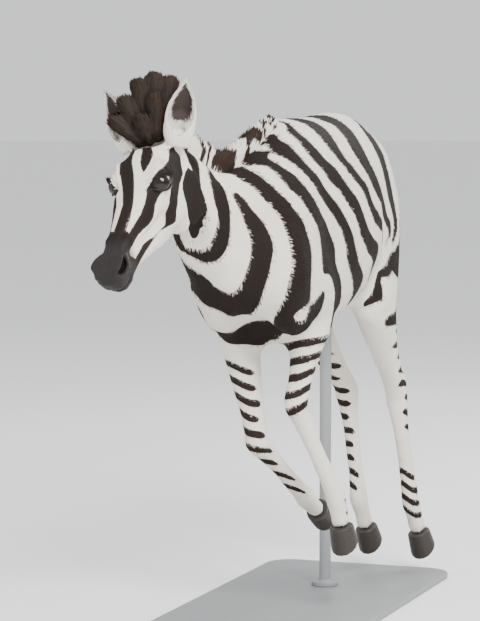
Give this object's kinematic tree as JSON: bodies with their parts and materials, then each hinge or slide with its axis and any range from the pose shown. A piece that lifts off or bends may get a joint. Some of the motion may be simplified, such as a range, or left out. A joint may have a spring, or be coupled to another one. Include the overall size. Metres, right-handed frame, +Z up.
{
  "type": "plains zebra foal display model",
  "caption": "Life-size still model of a striped zebra foal in mid-leap, head turned towards the viewer, held up by a rod on a flat display plate.",
  "frame": {"origin": "centre of the underside of the stand's base plate, on the floor", "axes": "+X the way the foal's trunk faces, +Y to its left, +Z up"},
  "size_m": [1.3596, 0.4478, 1.1681],
  "materials": {
    "coat": "short striped fur",
    "mane": "stiff upright hair",
    "hoof": "satin horn",
    "eye": "wet gloss",
    "stand": "satin grey"
  },
  "bodies": {
    "root": {"forelock": "mane", "mane": "mane", "trunk": "coat", "neck": "coat", "head": "coat", "eye_left": "eye", "eye_right": "eye", "ear_left": "coat", "ear_right": "coat", "fore_left_upper": "coat", "fore_left_lower": "coat", "hoof_fore_left": "hoof", "hind_left_upper": "coat", "hind_left_lower": "coat", "hoof_hind_left": "hoof", "fore_right_upper": "coat", "fore_right_lower": "coat", "hoof_fore_right": "hoof", "hind_right_upper": "coat", "hind_right_lower": "coat", "hoof_hind_right": "hoof", "tail": "coat", "tail_switch": "mane", "stand_base": "stand", "stand_rod": "stand"}
  },
  "joints": []
}
